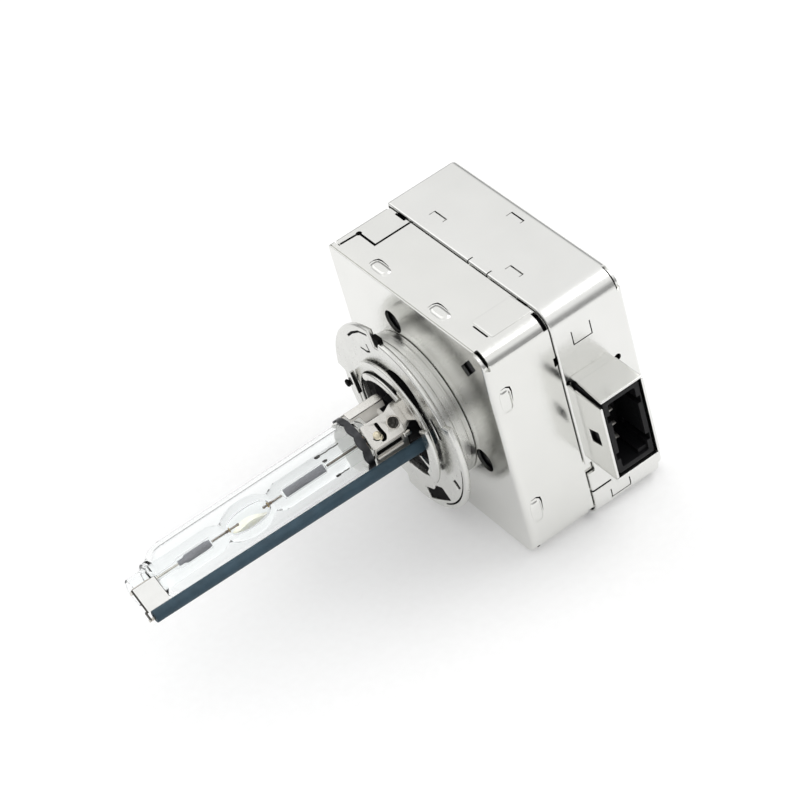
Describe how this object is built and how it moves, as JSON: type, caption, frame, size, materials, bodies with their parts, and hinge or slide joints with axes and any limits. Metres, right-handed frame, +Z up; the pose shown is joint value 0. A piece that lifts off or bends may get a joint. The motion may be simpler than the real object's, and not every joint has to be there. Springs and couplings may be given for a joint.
{
  "type": "gas-discharge headlight bulb",
  "caption": "Gas-discharge headlight bulb: glass burner on a lobed reference flange, with a square steel igniter box behind it and a shrouded connector on its side.",
  "frame": {"origin": "on the rear cover's bottom face, straight below the lamp axis, at half the cover's depth", "axes": "-Y along the lamp axis from the box to the burner tip, +X to the connector side, +Z up from the face it rests on"},
  "size_m": [0.0485, 0.0807, 0.0413],
  "materials": {
    "tinned_steel": "bright tinned sheet steel, near mirror",
    "ring_steel": "bright stainless strip, fine turned streaks on the drum",
    "dark_band": "dark oxidised spring steel",
    "quartz": "clear fused quartz",
    "blue_ceramic": "dark blue-grey unglazed ceramic",
    "black_plastic": "black moulded plastic",
    "tungsten": "drawn tungsten wire",
    "foil": "grey molybdenum foil",
    "nickel": "nickel-plated wire and strip",
    "copper": "copper strip and enamelled winding wire",
    "ferrite": "black ferrite",
    "board": "green glass-epoxy board",
    "film": "amber film capacitor body",
    "alumina": "off-white alumina"
  },
  "bodies": {
    "root": {"front_shell": "tinned_steel", "rear_cover": "tinned_steel", "connector_socket": "black_plastic", "contact_pin_1": "nickel", "contact_pin_2": "nickel", "contact_pin_3": "nickel", "contact_pin_4": "nickel", "flange_plate": "ring_steel", "base_drum": "ring_steel", "mount_ring": "ring_steel", "base_core": "black_plastic", "burner_holder": "ring_steel", "clamp_band": "dark_band", "outer_tube": "quartz", "arc_tube": "quartz", "front_electrode": "tungsten", "rear_electrode": "tungsten", "front_foil": "foil", "rear_foil": "foil", "front_lead": "nickel", "rear_lead": "nickel", "return_bracket": "nickel", "ceramic_rod": "blue_ceramic", "return_wire": "nickel", "inner_housing": "black_plastic", "circuit_board": "board", "transformer_core": "ferrite", "transformer_bobbin": "black_plastic", "secondary_winding": "copper", "primary_winding": "copper", "spark_gap": "alumina", "spark_gap_cap_left": "nickel", "spark_gap_cap_right": "nickel", "ignition_capacitor": "film", "filter_capacitor": "film", "charging_resistor": "alumina", "high_voltage_contact": "copper", "high_voltage_strip": "copper", "return_terminal": "copper"}
  },
  "joints": []
}
